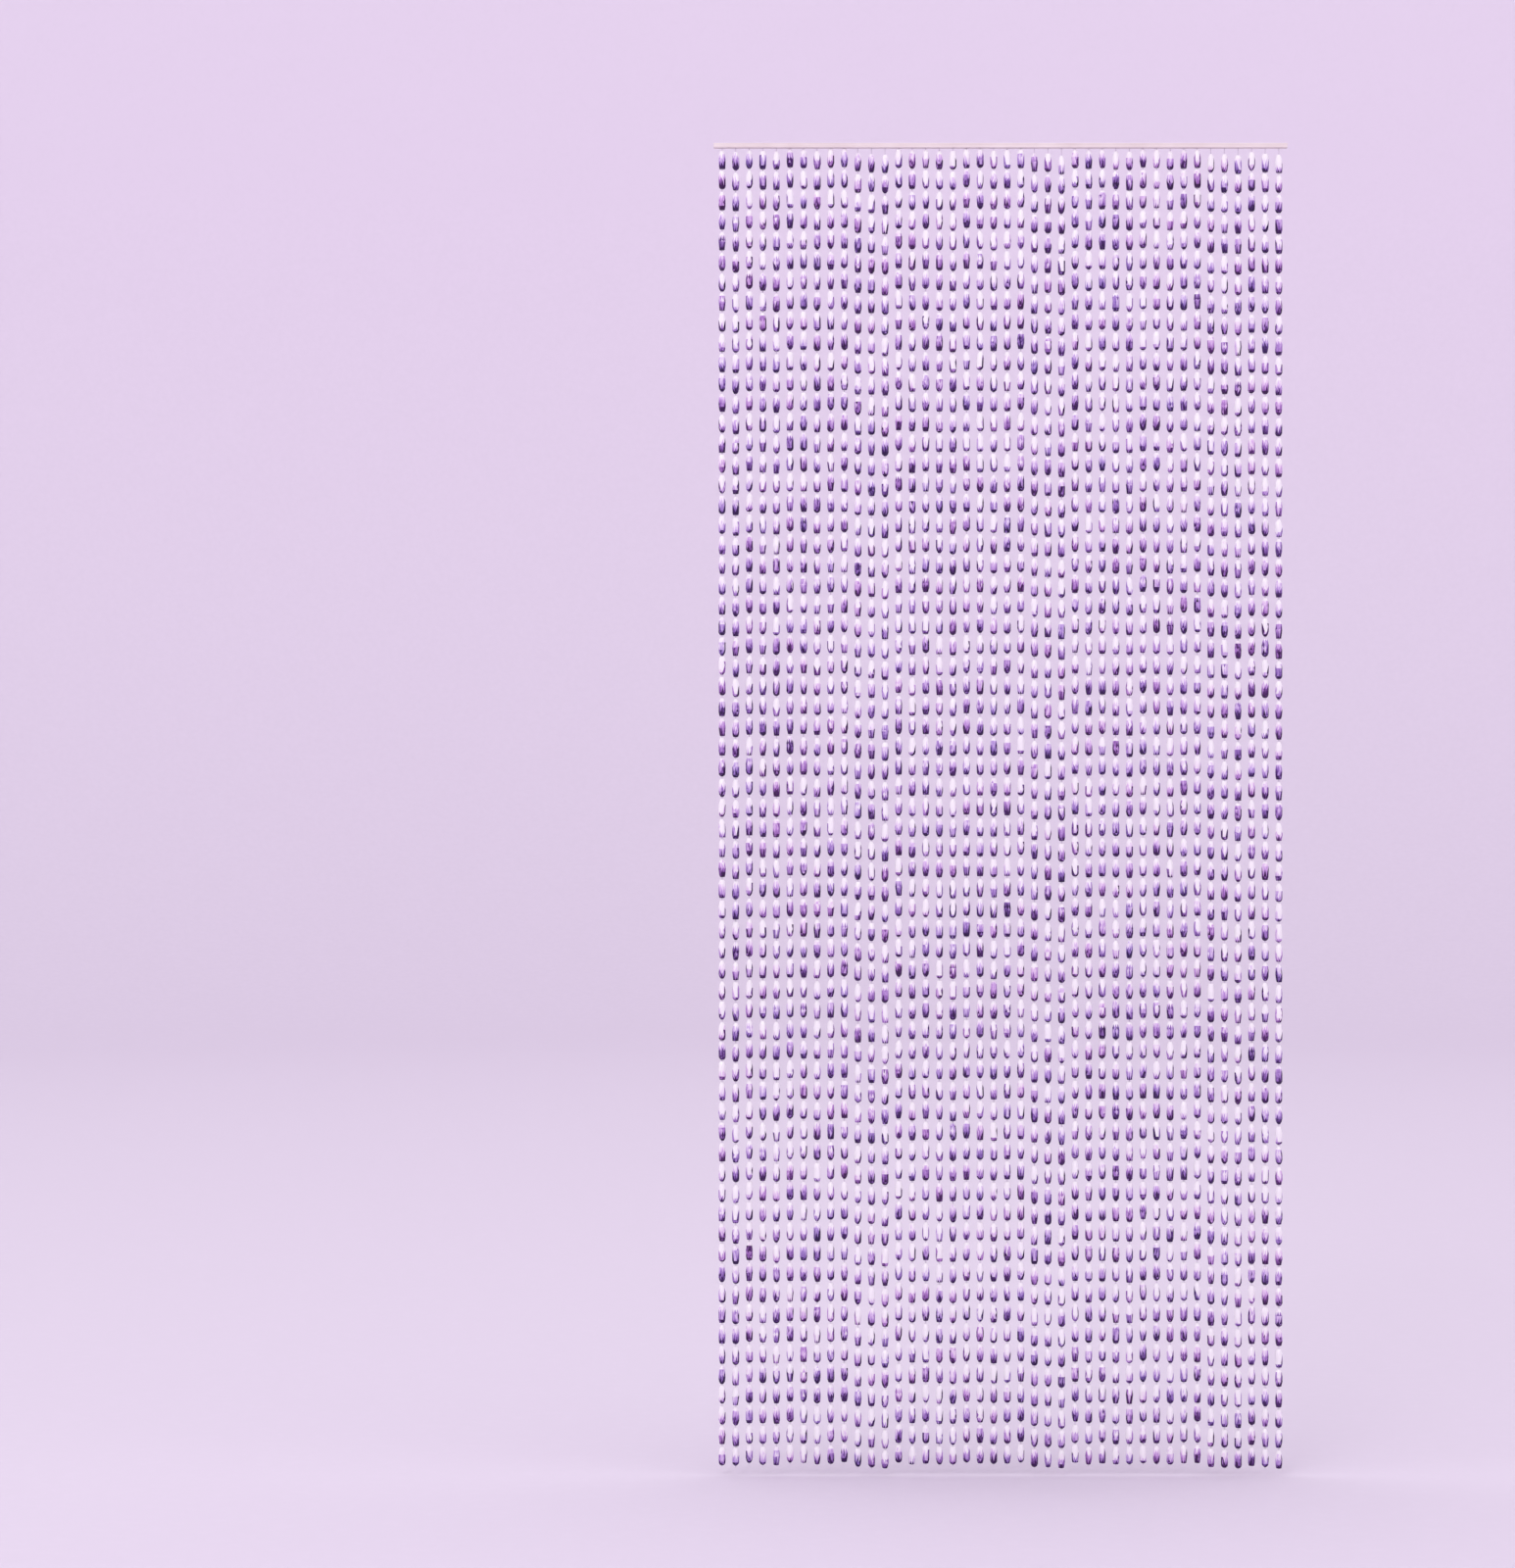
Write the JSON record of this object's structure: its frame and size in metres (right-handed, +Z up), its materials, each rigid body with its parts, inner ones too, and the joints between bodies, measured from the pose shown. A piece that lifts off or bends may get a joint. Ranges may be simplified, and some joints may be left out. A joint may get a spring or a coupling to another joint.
{
  "type": "bead curtain",
  "caption": "Doorway curtain: strings of long violet olive beads hang side by side from a slim heading strip, screen the opening and part to let a person through.",
  "frame": {"origin": "middle of the heading strip's flat top face, where the curtain is held up", "axes": "+X along the heading strip, +Y through the doorway, away from the side seen in front, +Z up; the strings hang down -Z"},
  "size_m": [0.87, 0.012, 2.0103],
  "materials": {
    "heading_strip": "satin, pale cream",
    "beads": "clear violet acrylic, glossy, cut in facets"
  },
  "bodies": {
    "root": {"heading": "heading_strip", "string_comb": "beads"}
  },
  "joints": []
}
